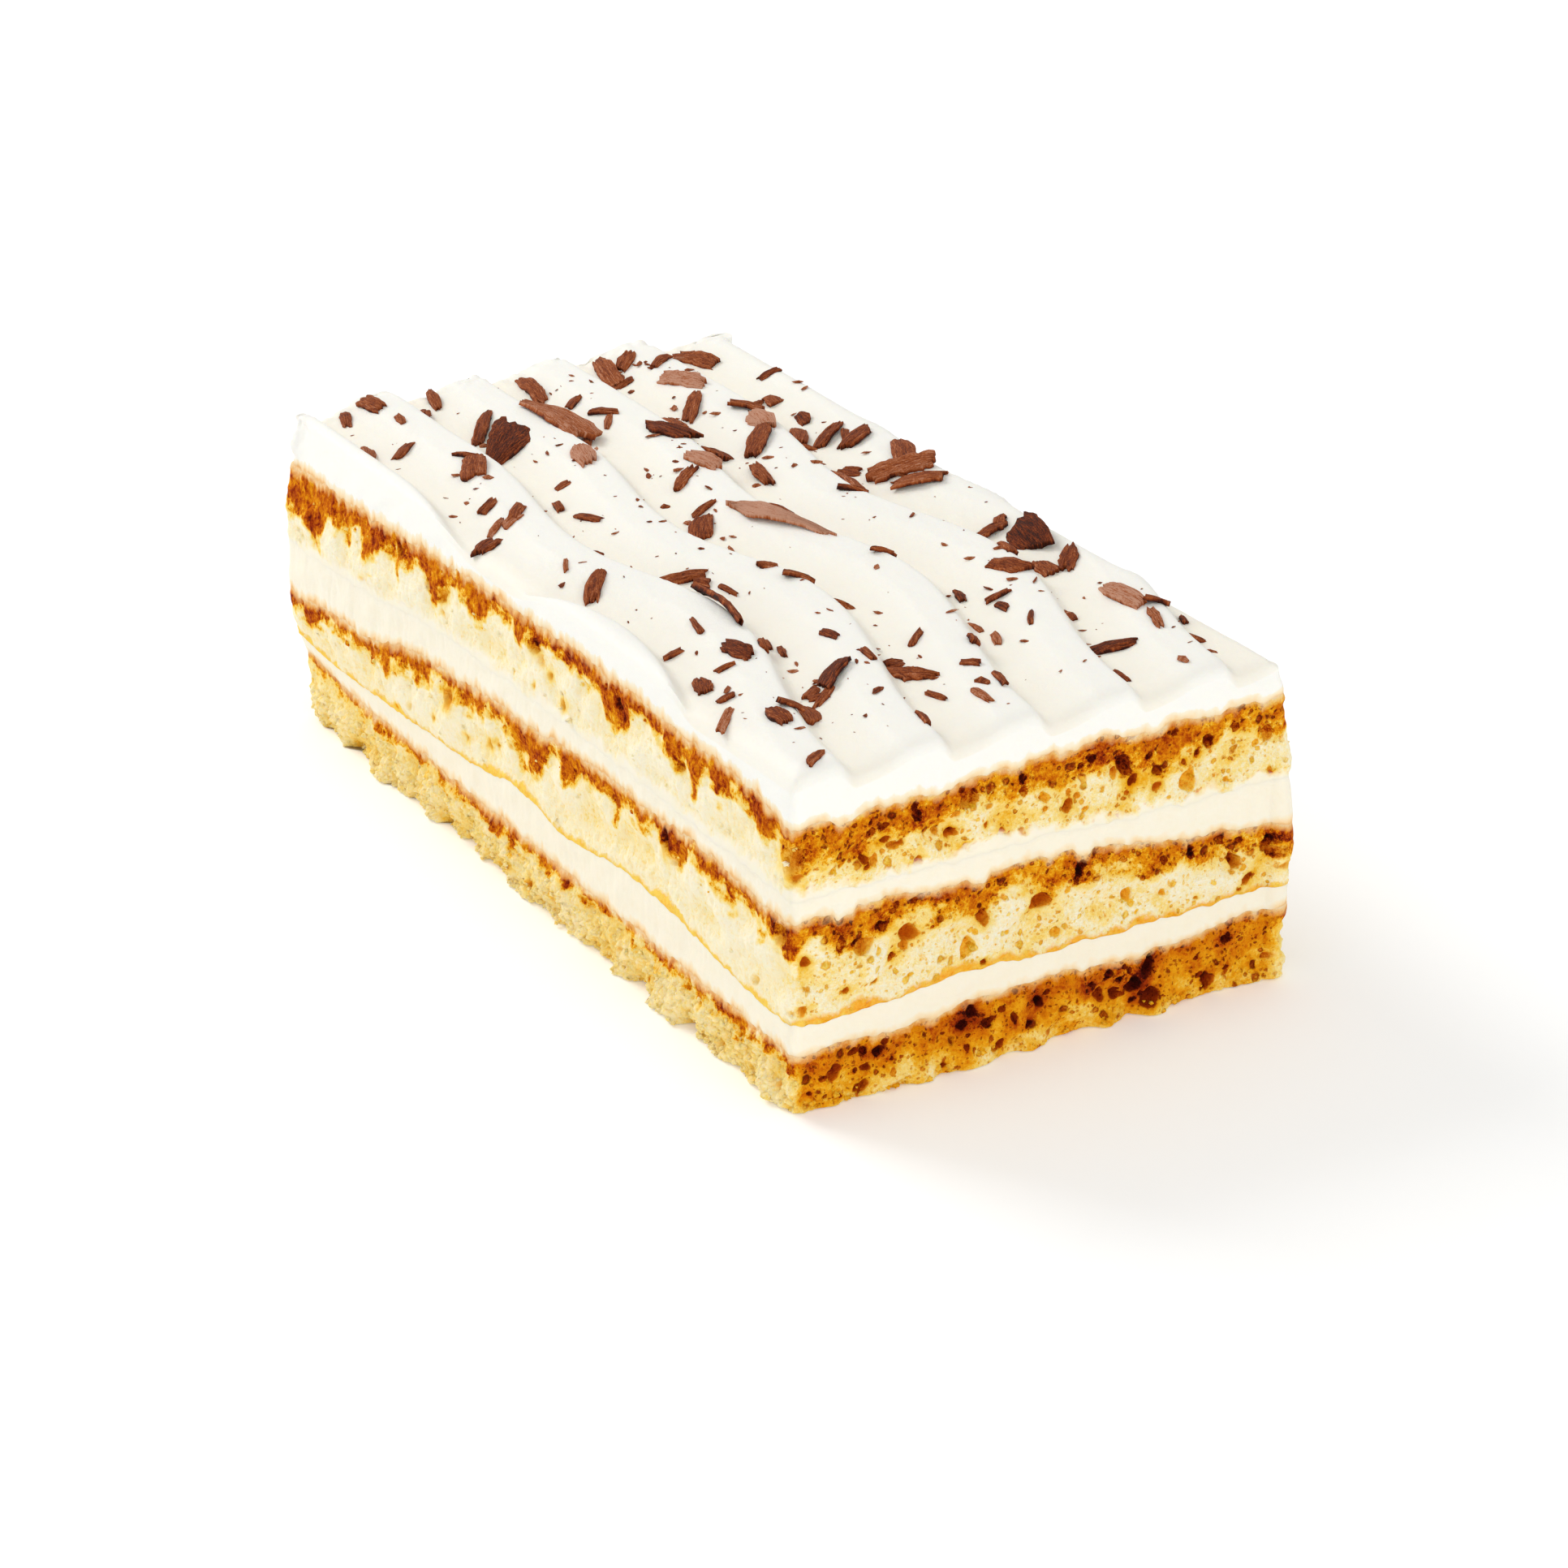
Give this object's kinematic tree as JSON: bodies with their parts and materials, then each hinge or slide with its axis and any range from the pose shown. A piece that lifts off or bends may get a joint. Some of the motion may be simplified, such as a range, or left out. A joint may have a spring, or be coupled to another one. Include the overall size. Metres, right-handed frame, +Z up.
{
  "type": "tiramisu layer cake",
  "caption": "Rectangular layer cake bar of coffee-soaked sponge and cream fillings under a combed cream top with chocolate shavings.",
  "frame": {"origin": "middle of the underside, on the surface that the cake stands on", "axes": "+Z up through the combed top, +Y along the length towards the torn far end, +X across the width to the right"},
  "size_m": [0.1113, 0.2049, 0.0691],
  "materials": {
    "sponge": "matte, open crumb, coffee-brown along the upper edge of each sponge",
    "cream": "satin",
    "cream_and_chocolate": "satin cream with dark satin chocolate shavings"
  },
  "bodies": {
    "root": {"sponge_bottom": "sponge", "cream_lower": "cream", "sponge_middle": "sponge", "cream_upper": "cream", "sponge_top": "sponge", "cream_top": "cream_and_chocolate"}
  },
  "joints": []
}
